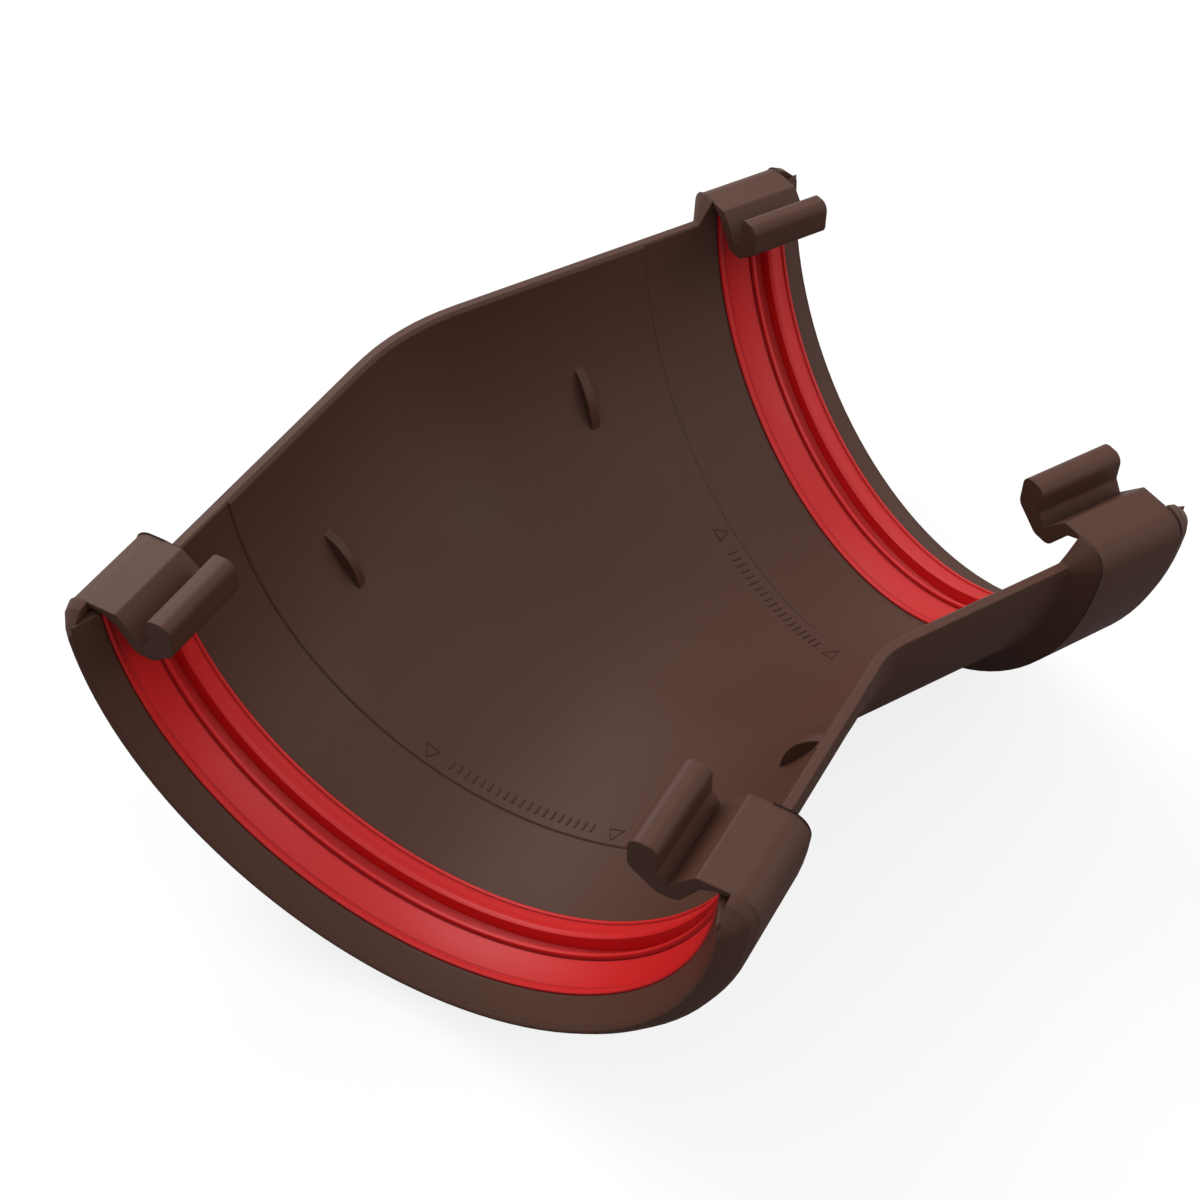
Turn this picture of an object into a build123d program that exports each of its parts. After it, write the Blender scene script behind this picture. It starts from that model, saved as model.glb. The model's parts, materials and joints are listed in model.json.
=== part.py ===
from build123d import *
from math import asin, cos, pi, radians, sin, sqrt, tan
import os

# Half-round channel, millimetres and degrees
turn_angle = 30.0              # change of direction of the gutter, seen from above
channel_radius = 56.1          # inside radius of the half-round channel
wall = 2.2                     # moulded wall of the channel
rim_drop = 3.4                 # the rims lie this far below the axis of the channel
rim_chamfer = 0.6              # fine chamfer along the inside edge of the rims
bend_start = 24.0              # the arms are straight beyond this distance from the elbow
outside_bend = 48.0            # plan radius of the bend at the convex rim
inside_bend = 12.0             # plan radius of the bend at the concave rim

# Socket collar at the end of each arm
band_start = 56.0              # distance from the elbow to the clip band
band_length = 17.5
crest_rise = 0.35              # the slopes beside the clip band end this far above its top
collar_thickness = 6.9         # from the channel's inside radius out to the clip band
collar_rise = 4.4              # the collar stands this far above the rims
collar_corner = 3.9            # outside radius along the top edges of the collar
collar_root = 0.25             # the foot of the shoulder starts this deep in the channel's wall
shoulder_length = 4.6          # slope from the channel's outside up to the clip band
mouth_length = 5.1             # sloping lip beyond the clip band
mouth_wall = 0.9               # the lip is this thick at its end
mouth_relief = 2.2             # the mouth is this much wider than the channel
mouth_chamfer = 0.5

# Slopes of the collar: share of the slope's length, and share of its height there
shoulder_profile = [(0, 0), (0.26, 0.12), (0.54, 0.44), (1, 1)]
mouth_profile = [(0, 0), (0.35, 0.16), (0.75, 0.6), (1, 1)]

# Inside of the socket
insert_depth = 39.7            # distance from the elbow to the line that the gutter is pushed to
seat_relief = 0.3              # the socket is this much wider than the channel
seat_taper = 0.5               # length of the fine step at the mark line
seal_inset = 1.2               # the seal strip begins this far into the clip band
seal_width = 15.7
seal_depth = 2.2               # depth of the seal's groove below the socket wall
seal_gap = 0.05                # room between the seal and its groove
seal_end_angle = 1.0           # the seal stops this far short of the clip blocks

# Cross-section of the seal strip: thickness over the groove's floor, and widths along the arm
seal_base = 2.0                # thickness of the strip at its flat band
seal_lip = 1.1                 # the edge lips stand this far above the flat band
seal_lip_width = 1.6
seal_flat_width = 9.7
seal_ridge = 1.8               # height of the ridge above the flat band
seal_ridge_width = 0.8
seal_steep = 0.4               # width of a steep flank
seal_slope = 1.6               # width of the ridge's long flank

# Clip lever: across from the channel's inside radius towards the middle, and down from the axis
block_reach = 3.5              # inside edge of the clip block's top
block_thickness = 1.1          # the block's top plate over the seal's end
plate_inset = 0.35             # the plate's underside turns down here
slope_foot = 2.8               # foot of that turn, where the slope's underside begins
slope_drop = 1.3
valley_inset = 8.2             # lowest line between block and lever
valley_drop = 3.9
underside_outer = 6.2          # flat underside below the valley
underside_inner = 9.8
underside_drop = 6.6
lever_outer = 9.7
lever_inner = 14.7
lever_heel = 1.8               # the lever's outer side begins at this drop
lever_knee = 3.0               # its inner side ends at this drop
lever_tip = 3.3                # the lever's top stands this far above the axis
lever_round = 1.9
knee_round = 2.0
block_round = 0.7
heel_round = 0.6
slope_round = 2.4

# Stop fins on the inside walls
fin_distance = 20.0            # distance from the elbow to the fin's near face
fin_thickness = 2.0
fin_angle = 58.3               # from straight down to the fin's middle
fin_span = 13.4                # angle that the fin covers on the wall
fin_height = 2.3               # how far the fin stands out of the wall

# Sections of the bend's loft, and points on the half-round line of each
fan_sections = 13
arc_points = 9                 # odd, so that one point lies in the middle

half_turn = turn_angle / 2
outer_radius = channel_radius + wall
collar_radius = channel_radius + collar_thickness
mouth_bore = channel_radius + mouth_relief
shoulder_start = band_start - shoulder_length
band_end = band_start + band_length
mouth_end = band_end + mouth_length
seal_start = band_start + seal_inset
seat_radius = channel_radius + seat_relief
groove_radius = seat_radius + seal_depth
block_top = collar_rise - rim_drop
fan_reach = bend_start / tan(radians(half_turn))
fan_line = Vector(0, -fan_reach / cos(radians(half_turn)), 0)


def bend_radius(across):
    """Plan radius of the bend for the line of the channel that lies this far across the arm."""
    share = (across + outer_radius) / (2 * outer_radius)
    return inside_bend + (outside_bend - inside_bend) * share


def fan_distance(across, fan_angle):
    """Distance from the fan line to a line of the channel, in the section at this fan angle."""
    angle = abs(radians(fan_angle))
    half = radians(half_turn)
    radius = bend_radius(across)
    centre = (fan_reach + across) / cos(half) - radius / cos(half)
    on_bend = centre * cos(angle) + sqrt(radius ** 2 - (centre * sin(angle)) ** 2)
    if abs(on_bend * sin(angle)) <= radius * sin(half):
        return on_bend
    return (fan_reach + across) / cos(half - angle)


def fan_point(across, up, fan_angle):
    """A point of the section at this fan angle."""
    reach = fan_distance(across, fan_angle)
    angle = radians(fan_angle)
    return fan_line + Vector(reach * sin(angle), reach * cos(angle), up)


def channel_arc(radius, rim, fan_angle, joins_arm):
    """Half-round line of the channel from the concave rim to the convex rim."""
    sweep = pi / 2 - asin(rim / radius)
    angles = [-sweep + 2 * sweep * step / (arc_points - 1) for step in range(arc_points)]
    points = [fan_point(radius * sin(a), -radius * cos(a), fan_angle) for a in angles]
    if joins_arm:
        return ThreePointArc(points[0], points[arc_points // 2], points[-1])
    return Spline(*points)


def channel_section(fan_angle, joins_arm):
    """Closed wall section of the channel at this fan angle, with true arcs where an arm begins."""
    inner = channel_arc(channel_radius, rim_drop + rim_chamfer, fan_angle, joins_arm)
    outer = channel_arc(outer_radius, rim_drop, fan_angle, joins_arm)
    rim_across = sqrt(channel_radius ** 2 - rim_drop ** 2) + rim_chamfer
    concave_top = fan_point(-rim_across, -rim_drop, fan_angle)
    convex_top = fan_point(rim_across, -rim_drop, fan_angle)
    edges = [
        inner,
        Line(inner @ 1, convex_top),
        Line(convex_top, outer @ 1),
        outer,
        Line(outer @ 0, concave_top),
        Line(concave_top, inner @ 0),
    ]
    return Face(Wire(edges))


def channel():
    """The bent channel: a loft round the elbow with a straight arm pulled out of each end."""
    step = turn_angle / (fan_sections - 1)
    sections = [
        channel_section(-half_turn + step * index, joins_arm=index in (0, fan_sections - 1))
        for index in range(fan_sections)
    ]
    bend = loft(sections)
    arm_length = band_start - bend_start
    right_way = Vector(1, 0, 0).rotate(Axis.Z, -half_turn)
    left_way = Vector(-1, 0, 0).rotate(Axis.Z, half_turn)
    right_arm = extrude(sections[-1], amount=arm_length, dir=right_way)
    left_arm = extrude(sections[0], amount=arm_length, dir=left_way)
    return bend + right_arm + left_arm


def collar_section(distance, radius, top, corner):
    """Filled outline of the collar across the arm: a round bottom and a flat top."""
    centre_up = top - corner
    centre_across = sqrt((radius - corner) ** 2 - centre_up ** 2)
    reach = radius / (radius - corner)
    foot = Vector(distance, centre_across * reach, centre_up * reach)
    edge = Vector(distance, centre_across, top)
    middle = asin(centre_up / (radius - corner)) / 2 + pi / 4
    crown = Vector(distance, centre_across + corner * cos(middle), centre_up + corner * sin(middle))
    far_foot, far_edge, far_crown = [Vector(p.X, -p.Y, p.Z) for p in (foot, edge, crown)]
    edges = [
        ThreePointArc(foot, Vector(distance, 0, -radius), far_foot),
        ThreePointArc(far_foot, far_crown, far_edge),
        Line(far_edge, edge),
        ThreePointArc(edge, crown, foot),
    ]
    return Face(Wire(edges))


def slope(start, length, profile, first, last):
    """Slope of the collar between two outlines, each given as radius, top and corner radius."""
    sections = []
    for along, share in profile:
        radius, top, corner = [a + (b - a) * share for a, b in zip(first, last)]
        sections.append(collar_section(start + length * along, radius, top, corner))
    return loft(sections, ruled=True)


def shoulder():
    """Elbow side of the collar, which swells from the channel's outside up to the clip band."""
    foot = (outer_radius - collar_root, -rim_drop - rim_chamfer - collar_root, rim_chamfer)
    head = (collar_radius, block_top + crest_rise, collar_corner)
    return slope(shoulder_start, shoulder_length, shoulder_profile, foot, head)


def mouth():
    """Sloping lip of the collar beyond the clip band."""
    fall = collar_radius - mouth_bore - mouth_wall
    root = (collar_radius, block_top + crest_rise, collar_corner)
    end = (collar_radius - fall, block_top - fall, mouth_wall)
    return slope(band_end, mouth_length, mouth_profile, root, end)


def clip_band():
    """Straight band of the collar, which carries the clip levers."""
    outline = collar_section(band_start, collar_radius, block_top, collar_corner)
    return extrude(outline, amount=band_length, dir=(1, 0, 0))


def socket_bore():
    """Room inside the collar: wide seat for the gutter, then the wider mouth."""
    past_end = mouth_end + mouth_chamfer
    outline = Polyline(
        (insert_depth - seat_taper, 0, 0),
        (insert_depth - seat_taper, 0, channel_radius - seat_relief),
        (insert_depth, 0, seat_radius),
        (band_end, 0, seat_radius),
        (band_end, 0, mouth_bore),
        (mouth_end - mouth_chamfer, 0, mouth_bore),
        (past_end, 0, mouth_bore + mouth_chamfer + past_end - mouth_end),
        (past_end, 0, 0),
        close=True,
    )
    return revolve(Face(Wire(outline.edges())), Axis.X, 360)


def half_ring(profile, short_of_rim):
    """Turn a profile, drawn as distance along the arm and radius, round the lower half of the arm."""
    return revolve(profile, Axis.X, 180 - 2 * short_of_rim).rotate(Axis.X, short_of_rim)


def seal_groove():
    """Room round the lower half of the socket, as deep below its wall as above it, for the seal."""
    outline = Polyline(
        (seal_start - seal_gap, seal_depth - seat_radius, 0),
        (seal_start - seal_gap, -groove_radius, 0),
        (band_end, -groove_radius, 0),
        (band_end, seal_depth - seat_radius, 0),
        close=True,
    )
    return half_ring(Face(Wire(outline.edges())), 0)


def clip_lever(side):
    """J-shaped clip lever on one rim of the collar: block, slope, valley and upright lever."""
    top_root = (seat_radius + collar_radius - collar_corner) / 2
    plate_root = (groove_radius + collar_radius) / 2
    plate_bottom = block_top - block_thickness
    corners = [
        (channel_radius - block_reach, block_top, block_round),
        (channel_radius - valley_inset, -valley_drop, 0),
        (channel_radius - lever_outer, -lever_heel, heel_round),
        (channel_radius - lever_outer, lever_tip, lever_round),
        (channel_radius - lever_inner, lever_tip, lever_round),
        (channel_radius - lever_inner, -lever_knee, knee_round),
        (channel_radius - underside_inner, -underside_drop, lever_round),
        (channel_radius - underside_outer, -underside_drop, slope_round),
        (channel_radius - slope_foot, -slope_drop, 0),
        (channel_radius - plate_inset, plate_bottom, 0),
    ]
    points = [(across, up) for across, up, _ in corners]
    points = [(top_root, block_top)] + points + [(plate_root, plate_bottom)]
    placed = [Vector(band_start, side * across, up) for across, up in points]
    outline = FilletPolyline(*placed, radius=[rounding for _, _, rounding in corners])
    closing = Line(placed[-1], placed[0])
    return extrude(Face(Wire(outline.edges() + [closing])), amount=band_length, dir=(1, 0, 0))


def stop_fin(side):
    """Low rounded fin on the inside wall, which stops the end of the gutter."""
    half_span = radians(fin_span / 2)
    half_chord = channel_radius * sin(half_span)
    sagitta = fin_height - channel_radius * (1 - cos(half_span))
    arc_radius = (half_chord ** 2 + sagitta ** 2) / (2 * sagitta)
    centre = channel_radius - fin_height + arc_radius
    angle = radians(fin_angle)
    place = Plane(
        origin=(fin_distance, side * centre * sin(angle), -centre * cos(angle)),
        z_dir=(1, 0, 0),
    )
    disc = extrude(place * Circle(arc_radius), amount=fin_thickness)
    inside_wall = Plane.YZ.offset(fin_distance) * Circle(channel_radius + wall / 2)
    return disc & extrude(inside_wall, amount=fin_thickness)


def seal_section():
    """Outline of the rubber strip: distance from its elbow-side edge, and height."""
    lip = seal_base + seal_lip
    ridge = seal_base + seal_ridge
    runs = [
        (seal_lip_width, lip),
        (seal_steep, seal_base),
        (seal_flat_width, seal_base),
        (seal_steep, ridge),
        (seal_ridge_width, ridge),
        (seal_slope, lip),
    ]
    points = [(0, 0), (0, lip)]
    along = 0
    for width, height in runs:
        along += width
        points.append((along, height))
    return points + [(seal_width, lip), (seal_width, 0)]


def seal_strip(flipped):
    """Rubber strip in its groove: a lip at each edge, a flat band and a ridge."""
    floor = groove_radius - seal_gap
    placed = []
    for along, height in seal_section():
        distance = seal_width - along if flipped else along
        placed.append((seal_start + distance, height - floor, 0))
    outline = Polyline(*placed, close=True)
    return half_ring(Face(Wire(outline.edges())), seal_end_angle)


def place_right(shape):
    """Swing a right arm from the straight line to its own direction."""
    return shape.rotate(Axis.Z, -half_turn)


def place_left(shape):
    """The left arm mirrors the right one."""
    return mirror(place_right(shape), about=Plane.YZ)


def angle_body():
    """The whole moulding."""
    collar = shoulder() + clip_band() + mouth()
    body = channel() + place_right(collar) + place_left(collar)
    room = socket_bore()
    body = body - place_right(room) - place_left(room)
    groove = seal_groove()
    body = body - place_right(groove) - place_left(groove)
    for side in (1, -1):
        for piece in (clip_lever(side), stop_fin(side)):
            body = body + place_right(piece) + place_left(piece)
    return body


def gutter_angle():
    """Every piece by its node's name, with the middle of the part's underside at the origin."""
    pieces = {
        "angle_body": angle_body(),
        "seal_left": place_left(seal_strip(flipped=True)),
        "seal_right": place_right(seal_strip(flipped=False)),
    }
    box = pieces["angle_body"].bounding_box()
    shift = (-box.center().X, -box.center().Y, -box.min.Z)
    return {name: piece.translate(shift) for name, piece in pieces.items()}, shift


if __name__ == "__main__":
    os.makedirs("parts", exist_ok=True)
    pieces, shift = gutter_angle()
    for name, piece in pieces.items():
        export_step(piece, f"parts/{name}.step")
        print(name, round(piece.volume, 1), piece.bounding_box())
    print("elbow's axis point", shift)
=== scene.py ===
"""Looks of the half-round gutter angle: brown moulded plastic, two red rubber seals, a plain studio."""

import json
import logging
from dataclasses import dataclass, replace
from enum import Enum
from math import cos, pi, radians, sin

import bpy
from mathutils import Matrix, Vector


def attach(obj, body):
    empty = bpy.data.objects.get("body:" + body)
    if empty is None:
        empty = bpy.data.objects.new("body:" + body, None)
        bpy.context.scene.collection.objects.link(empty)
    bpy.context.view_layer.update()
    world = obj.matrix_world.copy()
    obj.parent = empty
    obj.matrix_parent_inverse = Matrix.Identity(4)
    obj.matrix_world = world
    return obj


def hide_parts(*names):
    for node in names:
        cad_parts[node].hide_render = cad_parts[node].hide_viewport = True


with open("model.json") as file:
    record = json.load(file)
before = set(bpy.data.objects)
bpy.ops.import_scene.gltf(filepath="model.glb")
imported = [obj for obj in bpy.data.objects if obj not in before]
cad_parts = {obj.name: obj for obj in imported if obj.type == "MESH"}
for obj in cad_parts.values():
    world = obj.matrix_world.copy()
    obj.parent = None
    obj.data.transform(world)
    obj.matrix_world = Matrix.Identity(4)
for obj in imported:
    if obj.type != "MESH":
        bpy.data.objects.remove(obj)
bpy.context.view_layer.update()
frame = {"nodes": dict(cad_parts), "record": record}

log = logging.getLogger("gutter_angle")

MM = 0.001
Colour = tuple[float, float, float]
Vec3 = tuple[float, float, float]
Outline = tuple[tuple[float, float], ...]


class Arm(Enum):
    """The two arms of the angle, by the sign of their direction along X."""

    LEFT = -1
    RIGHT = 1


class MarkShape(Enum):
    """Shape of a raised mark."""

    TRIANGLE = "triangle"
    TICK = "tick"


class SocketSide(Enum):
    """The two ways along an arm, as they are seen from its seal."""

    TOWARDS_MOUTH = 1
    TOWARDS_ELBOW = -1


def linear(red: int, green: int, blue: int) -> Colour:
    """Turn a colour as it is seen on a screen into the linear values that shaders take.

    Args:
        red: red share, 0 to 255.
        green: green share, 0 to 255.
        blue: blue share, 0 to 255.

    Returns:
        The three linear shares, 0 to 1.
    """
    toe, toe_slope, offset, power = 0.04045, 12.92, 0.055, 2.4
    shares = []
    for value in (red, green, blue):
        seen = value / 255
        if seen <= toe:
            shares.append(seen / toe_slope)
        else:
            shares.append(((seen + offset) / (1 + offset)) ** power)
    return shares[0], shares[1], shares[2]


@dataclass(frozen=True)
class ArmFrame:
    """Local frame of one arm: along the arm, across it and up, from the elbow's point on the axis."""

    arm: Arm
    origin: Vector
    along: Vector

    @staticmethod
    def of(arm: Arm) -> "ArmFrame":
        """Read the arm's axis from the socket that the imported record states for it.

        Args:
            arm: the arm to look up.

        Returns:
            The arm's frame.
        """
        name = f"socket_{arm.name.lower()}"
        mount = next(m for m in frame["record"]["mounts"] if m["name"] == name)
        along = Vector(mount["axis"])
        place = Vector(mount["pos_m"])
        return ArmFrame(arm, place - along * (place.x / along.x), along)

    def matrix(self) -> Matrix:
        """Matrix from the arm's own coordinates to the row frame, without mirroring.

        Returns:
            The matrix, which turns and moves but doesn't scale.
        """
        up = Vector((0, 0, 1))
        across = up.cross(self.along)
        turn = Matrix((self.along, across, up)).transposed().to_4x4()
        return Matrix.Translation(self.origin) @ turn


class NodeTree:
    """Small helper that adds nodes to a tree and links them."""

    def __init__(self, tree: bpy.types.NodeTree) -> None:
        """Keep the tree that is being built."""
        self.tree = tree

    def add(self, kind: str, inputs: dict | None = None, **settings: object) -> bpy.types.Node:
        """Add a node, set its properties, and link or fill its inputs.

        Args:
            kind: the node's type name.
            inputs: values or output sockets by input name or index.
            **settings: properties of the node.

        Returns:
            The new node.
        """
        node = self.tree.nodes.new(kind)
        for name, value in settings.items():
            setattr(node, name, value)
        for key, value in (inputs or {}).items():
            if isinstance(value, bpy.types.NodeSocket):
                self.tree.links.new(value, node.inputs[key])
            else:
                node.inputs[key].default_value = value
        return node

    def math(self, operation: str, first: object, second: object = 0.0) -> bpy.types.NodeSocket:
        """Add a Math node and return its output.

        Args:
            operation: the operation's name.
            first: first value or socket.
            second: second value or socket.

        Returns:
            The result's socket.
        """
        return self.add("ShaderNodeMath", {0: first, 1: second}, operation=operation).outputs[0]

    def mix(self, first: object, second: object, blend: str, share: object = 1.0) -> bpy.types.NodeSocket:
        """Add a Mix node for colours and return its output.

        Args:
            first: the lower colour.
            second: the upper colour.
            blend: the blend's name.
            share: how much of the blend shows.

        Returns:
            The mixed colour's socket.
        """
        node = self.add("ShaderNodeMix", {0: share}, data_type="RGBA", blend_type=blend)
        lower, upper = [socket for socket in node.inputs if socket.type == "RGBA"]
        for socket, colour in ((lower, first), (upper, second)):
            if isinstance(colour, bpy.types.NodeSocket):
                self.tree.links.new(colour, socket)
            else:
                socket.default_value = colour
        return next(socket for socket in node.outputs if socket.type == "RGBA")

    def tint(self, first: Colour, second: Colour, share: bpy.types.NodeSocket) -> bpy.types.NodeSocket:
        """Fade between two fixed colours.

        Args:
            first: colour at a share of 0.
            second: colour at a share of 1.
            share: the share's socket.

        Returns:
            The faded colour's socket.
        """
        return self.mix((*first, 1.0), (*second, 1.0), "MIX", share)


def blank_finish(name: str) -> tuple[bpy.types.Material, NodeTree, bpy.types.Node]:
    """Start a material that has nothing but its principled shader.

    Args:
        name: the material's name.

    Returns:
        The material, its nodes and its shader.
    """
    material = bpy.data.materials.new(name)
    material.use_nodes = True
    return material, NodeTree(material.node_tree), material.node_tree.nodes["Principled BSDF"]


@dataclass(frozen=True)
class PaintedCornerShade:
    """Painted shade: the colour darkens in narrow corners, where ambient occlusion finds the surface boxed
    in.
    """

    reach: float
    tone: float
    deep: float = 0.25
    open: float = 0.85

    def over(self, nodes: NodeTree, colour: bpy.types.NodeSocket) -> bpy.types.NodeSocket:
        """Paint shade into a colour where the surface is boxed in.

        Args:
            nodes: the material's nodes.
            colour: the colour to darken.

        Returns:
            The darkened colour.
        """
        corner = nodes.add("ShaderNodeAmbientOcclusion", {"Distance": self.reach}, samples=6)
        shade = nodes.add("ShaderNodeMapRange", {
            "Value": corner.outputs["AO"],
            "From Min": self.deep,
            "From Max": self.open,
            "To Min": self.tone,
            "To Max": 1.0,
        })
        return nodes.mix(colour, shade.outputs[0], "MULTIPLY")


@dataclass(frozen=True)
class ShadeLine:
    """Thin line of painted shade across both arms, where two moulded surfaces meet in a fine step that would
    shade it.
    """

    distance: float
    inner_radius: float
    outer_radius: float
    half_width: float = 0.08 * MM
    tone: float = 0.45
    fade: float = 0.14 * MM

    def over(
        self,
        nodes: NodeTree,
        colour: bpy.types.NodeSocket,
        along: bpy.types.NodeSocket,
        radius: bpy.types.NodeSocket,
    ) -> bpy.types.NodeSocket:
        """Paint the shade line over a colour.

        Args:
            nodes: the material's nodes.
            colour: the colour under the line.
            along: distance from the elbow along the nearer arm.
            radius: distance from that arm's axis.

        Returns:
            The colour with the line.
        """
        gap = nodes.math("ABSOLUTE", nodes.math("SUBTRACT", along, self.distance))
        line = nodes.add("ShaderNodeMapRange", {
            "Value": gap,
            "From Min": self.half_width,
            "From Max": self.half_width + self.fade,
            "To Min": self.tone,
            "To Max": 1.0,
        }).outputs[0]
        inside = nodes.math("LESS_THAN", radius, self.inner_radius)
        outside = nodes.math("GREATER_THAN", radius, self.outer_radius)
        elsewhere = nodes.math("MAXIMUM", inside, outside)
        shade = nodes.math("MAXIMUM", line, elsewhere)
        return nodes.mix(colour, shade, "MULTIPLY")


@dataclass(frozen=True)
class MouldedPlastic:
    """Satin injection-moulded plastic with softened edges, a faint grain and slight cloudiness, with painted
    shade in narrow corners and painted shade lines along fine moulded steps.
    """

    name: str
    colour: Colour
    cloud_colour: Colour
    shade_lines: tuple[ShadeLine, ...]
    corner_shade: PaintedCornerShade = PaintedCornerShade(0.9 * MM, 0.4)
    roughness: float = 0.5
    roughness_spread: float = 0.05
    specular: float = 0.18
    cloud_scale: float = 38.0
    grain_scale: float = 2600.0
    grain_height: float = 0.012 * MM
    edge_radius: float = 0.45 * MM

    def arm_place(
        self, nodes: NodeTree, place: bpy.types.NodeSocket
    ) -> tuple[bpy.types.NodeSocket, bpy.types.NodeSocket]:
        """Distance along the nearer arm and from its axis; the arms mirror each other in X.

        Args:
            nodes: the material's nodes.
            place: object coordinates.

        Returns:
            The distance from the elbow and the distance from the axis.
        """
        arm = ArmFrame.of(Arm.RIGHT)
        apart = nodes.add("ShaderNodeSeparateXYZ", {0: place})
        beside = nodes.math("ABSOLUTE", apart.outputs["X"])
        back = nodes.math("SUBTRACT", apart.outputs["Y"], arm.origin.y)
        up = nodes.math("SUBTRACT", apart.outputs["Z"], arm.origin.z)
        along = nodes.math(
            "ADD", nodes.math("MULTIPLY", beside, arm.along.x), nodes.math("MULTIPLY", back, arm.along.y)
        )
        across = nodes.math(
            "SUBTRACT", nodes.math("MULTIPLY", back, arm.along.x), nodes.math("MULTIPLY", beside, arm.along.y)
        )
        square = nodes.math("ADD", nodes.math("MULTIPLY", across, across), nodes.math("MULTIPLY", up, up))
        return along, nodes.math("SQRT", square)

    def build(self) -> bpy.types.Material:
        """Make the material.

        Returns:
            The material, ready for a slot.
        """
        material, nodes, shader = blank_finish(self.name)
        place = nodes.add("ShaderNodeTexCoord").outputs["Object"]
        clouds = nodes.add("ShaderNodeTexNoise", {"Vector": place, "Scale": self.cloud_scale, "Detail": 3.0})
        colour = nodes.tint(self.colour, self.cloud_colour, clouds.outputs["Fac"])
        # painted shade: ambient occlusion darkens the colour in narrow corners
        colour = self.corner_shade.over(nodes, colour)
        along, radius = self.arm_place(nodes, place)
        # painted shade: thin dark lines where fine moulded steps would cast shadow
        for line in self.shade_lines:
            colour = line.over(nodes, colour, along, radius)
        spread = nodes.add("ShaderNodeMapRange", {
            "Value": clouds.outputs["Fac"],
            "To Min": self.roughness - self.roughness_spread,
            "To Max": self.roughness + self.roughness_spread,
        })
        grain = nodes.add("ShaderNodeTexNoise", {"Vector": place, "Scale": self.grain_scale, "Detail": 2.0})
        edge = nodes.add("ShaderNodeBevel", {"Radius": self.edge_radius}, samples=6)
        bump = nodes.add("ShaderNodeBump", {
            "Distance": self.grain_height,
            "Height": grain.outputs["Fac"],
            "Normal": edge.outputs["Normal"],
        })
        links = material.node_tree.links
        links.new(colour, shader.inputs["Base Color"])
        links.new(spread.outputs["Result"], shader.inputs["Roughness"])
        links.new(bump.outputs["Normal"], shader.inputs["Normal"])
        shader.inputs["Specular IOR Level"].default_value = self.specular
        return material


@dataclass(frozen=True)
class SealRubber:
    """Smooth rubber with a soft sheen and a fine moulded grain, and painted shade in its narrow corners and
    its hollow.
    """

    name: str
    colour: Colour
    deep_colour: Colour
    corner_shade: PaintedCornerShade = PaintedCornerShade(2.2 * MM, 0.32, deep=0.3, open=0.8)
    roughness: float = 0.5
    specular: float = 0.45
    grain_scale: float = 3200.0
    grain_height: float = 0.01 * MM
    cloud_scale: float = 60.0

    def build(self) -> bpy.types.Material:
        """Make the material.

        Returns:
            The material, ready for a slot.
        """
        material, nodes, shader = blank_finish(self.name)
        place = nodes.add("ShaderNodeTexCoord").outputs["Object"]
        clouds = nodes.add("ShaderNodeTexNoise", {"Vector": place, "Scale": self.cloud_scale})
        # painted shade: ambient occlusion darkens the rubber in its corners and its hollow
        colour = self.corner_shade.over(nodes, nodes.tint(self.colour, self.deep_colour, clouds.outputs["Fac"]))
        grain = nodes.add("ShaderNodeTexNoise", {"Vector": place, "Scale": self.grain_scale})
        bump = nodes.add("ShaderNodeBump", {"Distance": self.grain_height, "Height": grain.outputs["Fac"]})
        links = material.node_tree.links
        links.new(colour, shader.inputs["Base Color"])
        links.new(bump.outputs["Normal"], shader.inputs["Normal"])
        shader.inputs["Roughness"].default_value = self.roughness
        shader.inputs["Specular IOR Level"].default_value = self.specular
        return material


@dataclass(frozen=True)
class StageWhite:
    """Pale paper of the studio: white to the camera, and it still takes the object's shadow.

    Mirrored rays see the white too, except close to the part, where they see its shadow.
    """

    name: str = "stage paper"
    paper: float = 0.2
    white: float = 0.82
    shadow_reach: float = 0.1
    open_reach: float = 0.35

    def build(self) -> bpy.types.Material:
        """Make the material.

        Returns:
            The material of the floor.
        """
        material = bpy.data.materials.new(self.name)
        material.use_nodes = True
        tree = material.node_tree
        tree.nodes.clear()
        nodes = NodeTree(tree)
        path = nodes.add("ShaderNodeLightPath")
        away = nodes.add("ShaderNodeMapRange", {
            "Value": path.outputs["Ray Length"],
            "From Min": self.shadow_reach,
            "From Max": self.open_reach,
        })
        mirrored = nodes.math("MAXIMUM", path.outputs["Is Glossy Ray"], path.outputs["Is Transmission Ray"])
        mirrored = nodes.math("MULTIPLY", mirrored, away.outputs[0])
        seen = nodes.math("MAXIMUM", path.outputs["Is Camera Ray"], mirrored)
        paper = nodes.add("ShaderNodeBsdfDiffuse", {"Color": (self.paper, self.paper, self.paper, 1.0)})
        white = nodes.add("ShaderNodeEmission", {"Strength": nodes.math("MULTIPLY", seen, self.white)})
        both = nodes.add("ShaderNodeAddShader", {0: paper.outputs[0], 1: white.outputs[0]})
        nodes.add("ShaderNodeOutputMaterial", {"Surface": both.outputs[0]})
        return material


def plain_mesh(name: str, source: bpy.types.Object, material: bpy.types.Material) -> bpy.types.Object:
    """Turn what an object's modifiers make into a plain mesh object, and remove the source.

    Args:
        name: name of the finished piece.
        source: the object that carries the modifier.
        material: the piece's finish.

    Returns:
        The finished piece, linked to the scene.
    """
    graph = bpy.context.evaluated_depsgraph_get()
    mesh = bpy.data.meshes.new_from_object(source.evaluated_get(graph))
    mesh.name = name
    bpy.data.objects.remove(source)
    mesh.materials.clear()
    mesh.materials.append(material)
    piece = bpy.data.objects.new(name, mesh)
    bpy.context.scene.collection.objects.link(piece)
    return piece


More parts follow.
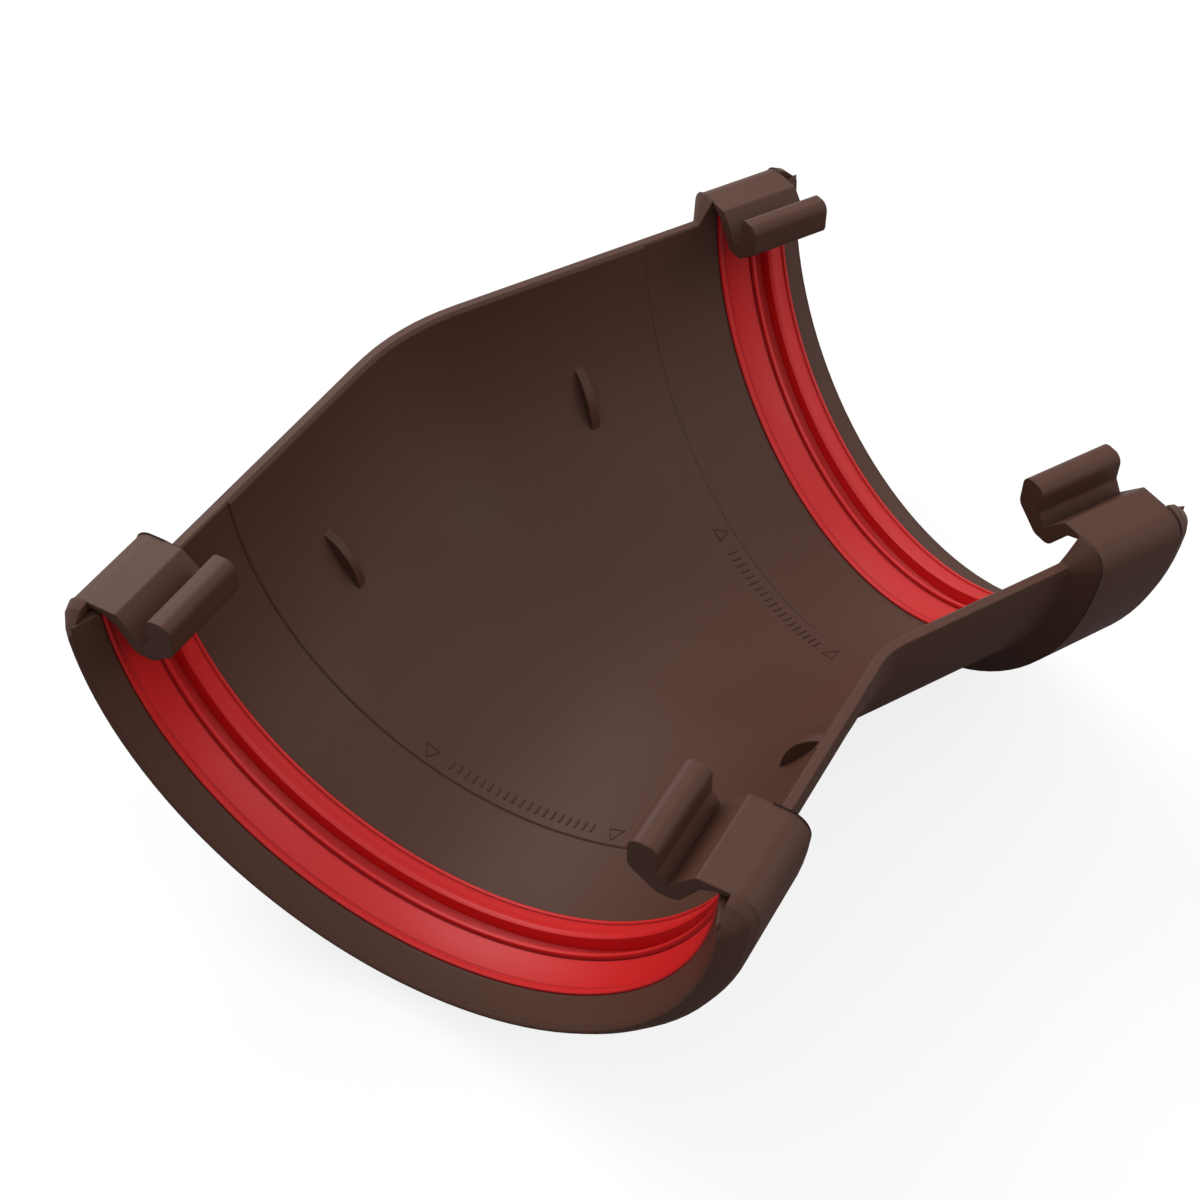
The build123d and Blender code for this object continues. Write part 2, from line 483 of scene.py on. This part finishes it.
class GeometryTree(NodeTree):
    """Geometry node group with named inputs, closed by Realize Instances and Set Material."""

    def __init__(self, name: str) -> None:
        """Start an empty group with one geometry in and one out.

        Args:
            name: the group's name.
        """
        group = bpy.data.node_groups.new(name, "GeometryNodeTree")
        super().__init__(group)
        group.interface.new_socket(name="Geometry", in_out="INPUT", socket_type="NodeSocketGeometry")
        group.interface.new_socket(name="Geometry", in_out="OUTPUT", socket_type="NodeSocketGeometry")
        self.values: dict[str, object] = {}
        self.entry = group.nodes.new("NodeGroupInput")

    def size(self, name: str, value: object, kind: str = "NodeSocketFloat") -> bpy.types.NodeSocket:
        """Add a named input with the value that it takes here.

        Args:
            name: the input's name.
            value: the value that the modifier sets.
            kind: the socket's type.

        Returns:
            The input's socket inside the group.
        """
        socket = self.tree.interface.new_socket(name=name, in_out="INPUT", socket_type=kind)
        self.values[socket.identifier] = value
        return self.entry.outputs[name]

    def fan_angle(self, count: bpy.types.NodeSocket, half_span: bpy.types.NodeSocket) -> bpy.types.NodeSocket:
        """Angle of each point in a fan that spreads evenly to both sides.

        Args:
            count: the number of points.
            half_span: the angle of the last point.

        Returns:
            The angle's socket.
        """
        index = self.add("GeometryNodeInputIndex").outputs[0]
        share = self.math("DIVIDE", index, self.math("SUBTRACT", count, 1.0))
        both_sides = self.math("SUBTRACT", self.math("MULTIPLY", share, 2.0), 1.0)
        return self.math("MULTIPLY", half_span, both_sides)

    def under_axis(
        self, angle: bpy.types.NodeSocket, radius: bpy.types.NodeSocket, along: object
    ) -> bpy.types.NodeSocket:
        """Place of each point round the arm's axis, with the angle counted from straight below it.

        Args:
            angle: the point's angle.
            radius: the distance from the axis.
            along: the distance along the arm.

        Returns:
            The place's socket.
        """
        sideways = self.math("MULTIPLY", self.math("SINE", angle), radius)
        down = self.math("MULTIPLY", self.math("COSINE", angle), self.math("MULTIPLY", radius, -1.0))
        return self.add("ShaderNodeCombineXYZ", {"X": along, "Y": sideways, "Z": down}).outputs[0]

    def close(self, geometry: bpy.types.NodeSocket) -> None:
        """End the group: realize, set the finish and hand the result out.

        Args:
            geometry: what the group has made.
        """
        finish = self.entry.outputs["Finish"]
        real = self.add("GeometryNodeRealizeInstances", {"Geometry": geometry})
        dressed = self.add("GeometryNodeSetMaterial", {"Geometry": real.outputs[0], "Material": finish})
        self.add("NodeGroupOutput", {0: dressed.outputs[0]})

    def apply(self, name: str, mesh: bpy.types.Mesh, material: bpy.types.Material) -> bpy.types.Object:
        """Run the group on a mesh and keep the result as a plain piece.

        Args:
            name: the finished piece's name.
            mesh: the geometry that goes in.
            material: the piece's finish.

        Returns:
            The finished piece.
        """
        source = bpy.data.objects.new(name + "_source", mesh)
        bpy.context.scene.collection.objects.link(source)
        modifier = source.modifiers.new("build", "NODES")
        modifier.node_group = self.tree
        for identifier, value in self.values.items():
            modifier[identifier] = value
        return plain_mesh(name, source, material)


@dataclass
class GrooveRing:
    """Piece at the seal's groove, swept round the lower half of a socket from its cross-section.

    The outline's points say how far they lie from one side of the groove, counted in the direction
    of `runs`, and how high over the groove's floor, both in millimetres.
    """

    frame: ArmFrame
    runs: SocketSide
    outline_mm: Outline
    start: float = 57.2 * MM
    width: float = 15.7 * MM
    floor_radius: float = 58.55 * MM
    short_of_rim: float = radians(1.0)
    edge_round: float = 0.1 * MM
    arc_steps: int = 160

    def section_mesh(self) -> bpy.types.Mesh:
        """Closed loop of edges with the ring's cross-section: the arm along X, outwards along Y.

        Returns:
            Mesh of the loop, with edges and no faces.
        """
        points = [(self.start + along * MM, -height * MM, 0.0) for along, height in self.outline_mm]
        if self.runs is SocketSide.TOWARDS_ELBOW:
            middle = self.start + self.width / 2
            points = [(2 * middle - along, out, 0.0) for along, out, _ in reversed(points)]
        count = len(points)
        mesh = bpy.data.meshes.new("ring section")
        mesh.from_pydata(points, [(i, (i + 1) % count) for i in range(count)], [])
        return mesh

    def tree(self, material: bpy.types.Material) -> GeometryTree:
        """Group that rounds the section's corners and turns it about the arm's axis.

        Args:
            material: the ring's finish.

        Returns:
            The group with its inputs.
        """
        group = GeometryTree("groove ring")
        group.size("Finish", material, "NodeSocketMaterial")
        rounding = group.size("Edge Round", self.edge_round)
        half_sweep = group.size("Half Sweep", pi / 2 - self.short_of_rim)
        steps = group.size("Arc Steps", self.arc_steps, "NodeSocketInt")
        radius = group.size("Floor Radius", self.floor_radius)
        section = group.add("GeometryNodeMeshToCurve", {"Mesh": group.entry.outputs["Geometry"]})
        rounded = group.add("GeometryNodeFilletCurve", {"Curve": section.outputs[0]}, mode="POLY")
        rounded.inputs["Count"].default_value = 2
        group.tree.links.new(rounding, rounded.inputs["Radius"])
        rounded.inputs["Limit Radius"].default_value = True
        points = group.add("GeometryNodeMeshLine", {"Count": steps})
        place = group.under_axis(group.fan_angle(steps, half_sweep), radius, 0.0)
        ring = group.add("GeometryNodeSetPosition", {"Geometry": points.outputs[0], "Position": place})
        path = group.add("GeometryNodeMeshToCurve", {"Mesh": ring.outputs[0]})
        swept = group.add("GeometryNodeCurveToMesh", {
            "Curve": path.outputs[0],
            "Profile Curve": rounded.outputs[0],
            "Fill Caps": True,
        })
        smooth = group.add("GeometryNodeSetShadeSmooth", {"Geometry": swept.outputs[0]})
        group.close(smooth.outputs[0])
        return group

    def sweep(self, name: str, material: bpy.types.Material) -> bpy.types.Object:
        """Make the ring and put it in its socket.

        Args:
            name: the piece's name, to which the arm's side is added.
            material: the ring's finish.

        Returns:
            The finished ring, riding on the part.
        """
        full_name = f"{name}_{self.frame.arm.name.lower()}"
        piece = self.tree(material).apply(full_name, self.section_mesh(), material)
        piece.data.transform(self.frame.matrix())
        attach(piece, "root")
        return piece


@dataclass
class SocketSeal:
    """Rubber strip with its sealing ridges, and the moulded ramp between it and the mouth."""

    frame: ArmFrame
    main_ridge: SocketSide

    def strip_outline(self) -> Outline:
        """Cross-section of the strip, from its flat edge to the edge behind the main ridge.

        Returns:
            Distance from the flat edge and thickness of each point, in millimetres.
        """
        flat_edge = [(0.0, 0.0), (0.0, 2.5)]
        lip = [(0.35, 2.7), (1.3, 2.25), (1.5, 1.85), (1.75, 2.1)]
        flat_band = [(6.7, 3.0), (6.85, 2.65), (7.05, 2.75)]
        thin_ridge = [(7.15, 3.7), (7.85, 3.7)]
        hollow = [(8.0, 1.2), (10.65, 1.2)]
        main_ridge = [(10.85, 3.9), (11.75, 4.05), (13.4, 3.3)]
        back_slope = [(14.75, 2.95), (14.9, 2.65), (15.1, 3.2)]
        back_edge = [(15.7, 3.1), (15.7, 0.0)]
        return (*flat_edge, *lip, *flat_band, *thin_ridge, *hollow, *main_ridge, *back_slope, *back_edge)

    def ramp_outline(self) -> Outline:
        """Cross-section of the ramp: from the wide mouth up to the level of the socket's wall.

        Returns:
            Distance from the groove and height over its floor of each point, in millimetres.
        """
        return ((-0.02, 0.1), (-5.2, 0.1), (-5.2, 0.2), (-0.4, 2.2), (-0.02, 2.2))

    def build(self, rubber: bpy.types.Material, plastic: bpy.types.Material) -> list[bpy.types.Object]:
        """Make the strip, which stands for its CAD node, and the ramp at the socket's mouth.

        Args:
            rubber: the strip's finish.
            plastic: the ramp's finish.

        Returns:
            The strip and the ramp.
        """
        strip = GrooveRing(self.frame, self.main_ridge, self.strip_outline()).sweep("seal_strip", rubber)
        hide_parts(f"seal_{self.frame.arm.name.lower()}")
        ramp_ring = GrooveRing(self.frame, SocketSide.TOWARDS_ELBOW, self.ramp_outline())
        ramp = ramp_ring.sweep("mouth_ramp", plastic)
        return [strip, ramp]


@dataclass
class MarkRow:
    """Row of raised marks across the channel's floor, beside the line that the gutter is pushed to."""

    frame: ArmFrame
    shape: MarkShape
    count: int
    half_span: float
    distance: float = 36.8 * MM
    wall_radius: float = 56.1 * MM
    relief: float = 0.16 * MM
    stroke: float = 0.34 * MM
    tick_length: float = 1.9 * MM
    triangle_reach: float = 1.75 * MM

    def stamp(self, group: GeometryTree) -> bpy.types.NodeSocket:
        """Add one mark to the group, lying at the arm's lowest line with its face up.

        Args:
            group: the group that is being built.

        Returns:
            The mark's geometry.
        """
        relief = group.size("Relief", self.relief)
        stroke = group.size("Stroke", self.stroke)
        depth = group.math("MULTIPLY", relief, 2.0)
        if self.shape is MarkShape.TICK:
            length = group.size("Tick Length", self.tick_length)
            size = group.add("ShaderNodeCombineXYZ", {"X": length, "Y": stroke, "Z": depth})
            return group.add("GeometryNodeMeshCube", {"Size": size.outputs[0]}).outputs["Mesh"]
        reach = group.size("Triangle Reach", self.triangle_reach)
        outline = group.add("GeometryNodeCurvePrimitiveCircle", {"Resolution": 3, "Radius": reach})
        bar = group.add("GeometryNodeCurvePrimitiveQuadrilateral", {"Width": stroke, "Height": depth})
        swept = group.add("GeometryNodeCurveToMesh", {
            "Curve": outline.outputs["Curve"],
            "Profile Curve": bar.outputs["Curve"],
        })
        return swept.outputs["Mesh"]

    def tree(self, material: bpy.types.Material) -> GeometryTree:
        """Group that sets the marks round the arm's axis.

        Args:
            material: the moulded plastic.

        Returns:
            The group with its inputs.
        """
        group = GeometryTree(f"{self.shape.value} row")
        group.size("Finish", material, "NodeSocketMaterial")
        count = group.size("Count", self.count, "NodeSocketInt")
        half_span = group.size("Half Span", self.half_span)
        radius = group.size("Wall Radius", self.wall_radius)
        distance = group.size("Distance", self.distance)
        points = group.add("GeometryNodeMeshLine", {"Count": count})
        angle = group.fan_angle(count, half_span)
        place = group.under_axis(angle, radius, distance)
        spots = group.add("GeometryNodeSetPosition", {"Geometry": points.outputs[0], "Position": place})
        turn = group.add("ShaderNodeCombineXYZ", {"X": angle})
        stamped = group.add("GeometryNodeInstanceOnPoints", {
            "Points": spots.outputs[0],
            "Instance": self.stamp(group),
            "Rotation": turn.outputs[0],
        })
        group.close(stamped.outputs[0])
        return group

    def build(self, material: bpy.types.Material) -> bpy.types.Object:
        """Make the row and put it on its arm.

        Args:
            material: the moulded plastic.

        Returns:
            The finished row.
        """
        name = f"{self.shape.value}_row_{self.frame.arm.name.lower()}"
        row = self.tree(material).apply(name, bpy.data.meshes.new("empty"), material)
        row.data.transform(self.frame.matrix())
        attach(row, "root")
        return row


@dataclass
class AngleMoulding:
    """The moulded body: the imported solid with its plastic."""

    node: str = "angle_body"

    def dress(self, material: bpy.types.Material) -> bpy.types.Object:
        """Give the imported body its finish.

        Args:
            material: the moulded plastic.

        Returns:
            The body.
        """
        body = frame["nodes"][self.node]
        for slot in body.material_slots:
            slot.material = material
        return body


@dataclass(frozen=True)
class SoftBox:
    """Rectangular studio lamp that looks at a point."""

    name: str
    place: Vec3
    target: Vec3
    size: tuple[float, float]
    power: float
    colour: Colour = (1.0, 1.0, 1.0)

    def build(self) -> bpy.types.Object:
        """Hang the lamp.

        Returns:
            The lamp's object.
        """
        lamp = bpy.data.lights.new(self.name, "AREA")
        lamp.shape = "RECTANGLE"
        lamp.size, lamp.size_y = self.size
        lamp.energy = self.power
        lamp.color = self.colour
        holder = bpy.data.objects.new(self.name, lamp)
        holder.location = self.place
        aim = Vector(self.target) - Vector(self.place)
        holder.rotation_euler = aim.to_track_quat("-Z", "Y").to_euler()
        bpy.context.scene.collection.objects.link(holder)
        return holder


@dataclass
class Studio:
    """Pale floor, bright surroundings and soft lamps.

    The dome grows from its low light to its full one between two heights of the light's direction,
    which is 0 at the horizon and 1 straight up.
    """

    floor_width: float = 3.0
    sky_light: float = 0.8
    low_light: float = 0.06
    sky_from: float = 0.3
    sky_full: float = 0.5

    def floor(self) -> bpy.types.Object:
        """Lay the floor under the part.

        Returns:
            The floor's object.
        """
        half = self.floor_width / 2
        corners = [(-half, -half, 0), (half, -half, 0), (half, half, 0), (-half, half, 0)]
        mesh = bpy.data.meshes.new("floor")
        mesh.from_pydata(corners, [], [(0, 1, 2, 3)])
        mesh.materials.append(StageWhite().build())
        floor = bpy.data.objects.new("floor", mesh)
        bpy.context.scene.collection.objects.link(floor)
        return floor

    def surroundings(self) -> None:
        """White backdrop to the camera and in mirrored rays, and a dome of light from above for the part."""
        world = bpy.data.worlds.new("studio")
        world.use_nodes = True
        bpy.context.scene.world = world
        tree = world.node_tree
        tree.nodes.clear()
        nodes = NodeTree(tree)
        path = nodes.add("ShaderNodeLightPath")
        seen = nodes.math("MAXIMUM", path.outputs["Is Camera Ray"], path.outputs["Is Glossy Ray"])
        seen = nodes.math("MAXIMUM", seen, path.outputs["Is Transmission Ray"])
        ahead = nodes.add("ShaderNodeTexCoord").outputs["Generated"]
        height = nodes.add("ShaderNodeSeparateXYZ", {0: ahead}).outputs["Z"]
        dome = nodes.add("ShaderNodeMapRange", {
            "Value": height,
            "From Min": self.sky_from,
            "From Max": self.sky_full,
            "To Min": self.low_light,
            "To Max": self.sky_light,
        })
        plain = (1.0, 1.0, 1.0, 1.0)
        light = nodes.add("ShaderNodeBackground", {"Color": plain, "Strength": dome.outputs[0]})
        white = nodes.add("ShaderNodeBackground", {"Color": plain, "Strength": 1.0})
        mixed = nodes.add("ShaderNodeMixShader", {0: seen, 1: light.outputs[0], 2: white.outputs[0]})
        nodes.add("ShaderNodeOutputWorld", {"Surface": mixed.outputs[0]})

    def lamps(self) -> None:
        """Hang the soft lamps."""
        centre = (0.0, 0.0, 30 * MM)
        for lamp in (
            SoftBox("behind", place=(0.1, 0.62, 0.64), target=centre, size=(0.6, 0.6), power=4.6),
            SoftBox("right", place=(0.45, -0.58, 0.54), target=centre, size=(0.5, 0.5), power=1.2),
        ):
            lamp.build()

    def build(self) -> None:
        """Set up the whole studio."""
        self.floor()
        self.surroundings()
        self.lamps()


@dataclass
class PhotoCamera:
    """Camera at the photograph's viewing angle, solved from the part's own edges.

    Its place is in millimetres from the elbow's point on the axis.
    """

    from_elbow: Vec3 = (-182.37, -171.75, 225.49)
    heading: float = radians(44.105)
    dip: float = radians(46.154)
    roll: float = radians(-0.204)
    focal_pixels: float = 1916.7
    picture_pixels: float = 1200.0
    sensor: float = 36.0

    def build(self) -> bpy.types.Object:
        """Place the camera and make it the scene's own.

        Returns:
            The camera's object.
        """
        data = bpy.data.cameras.new("photo camera")
        data.sensor_width = self.sensor
        data.lens = self.focal_pixels / self.picture_pixels * self.sensor
        data.clip_start = 10 * MM
        data.dof.use_dof = False
        camera = bpy.data.objects.new("photo camera", data)
        elbow = ArmFrame.of(Arm.RIGHT).origin
        camera.location = elbow + Vector(self.from_elbow) * MM
        ahead = Vector((
            cos(self.dip) * cos(self.heading),
            cos(self.dip) * sin(self.heading),
            -sin(self.dip),
        ))
        turn = ahead.to_track_quat("-Z", "Y").to_matrix() @ Matrix.Rotation(-self.roll, 3, "Z")
        camera.rotation_euler = turn.to_euler()
        bpy.context.scene.collection.objects.link(camera)
        bpy.context.scene.camera = camera
        return camera


def main() -> None:
    """Build and dress the part in order, then the studio and the camera."""
    logging.basicConfig(level=logging.INFO, format="%(message)s")
    # thin lines of painted shade at the mark line and at both ends of the band on the outside
    mark_line_shade = ShadeLine(distance=39.7 * MM, inner_radius=0.0, outer_radius=56.7 * MM, tone=0.55)
    band_start_shade = ShadeLine(distance=56.0 * MM, inner_radius=61.0 * MM, outer_radius=70.0 * MM)
    band_end_shade = replace(band_start_shade, distance=73.5 * MM)
    shade_lines = (mark_line_shade, band_start_shade, band_end_shade)
    plastic = MouldedPlastic("brown moulded plastic", linear(83, 54, 43), linear(78, 50, 40), shade_lines).build()
    rubber = SealRubber("red seal rubber", linear(207, 17, 19), linear(197, 14, 16)).build()

    body = AngleMoulding().dress(plastic)
    log.info("%s dressed, %d faces", body.name, len(body.data.polygons))
    ridges = {Arm.LEFT: SocketSide.TOWARDS_ELBOW, Arm.RIGHT: SocketSide.TOWARDS_MOUTH}
    for arm, main_ridge in ridges.items():
        for ring in SocketSeal(ArmFrame.of(arm), main_ridge).build(rubber, plastic):
            log.info("%s built, %d faces", ring.name, len(ring.data.polygons))
        for shape, count, degrees in ((MarkShape.TRIANGLE, 2, 20.5), (MarkShape.TICK, 19, 15.5)):
            row = MarkRow(ArmFrame.of(arm), shape, count, half_span=radians(degrees)).build(plastic)
            log.info("%s built, %d faces", row.name, len(row.data.polygons))

    Studio().build()
    camera = PhotoCamera().build()
    log.info("camera at %s", tuple(round(v, 4) for v in camera.location))
    bpy.context.scene.view_settings.view_transform = "Standard"


if __name__ == "__main__":
    main()
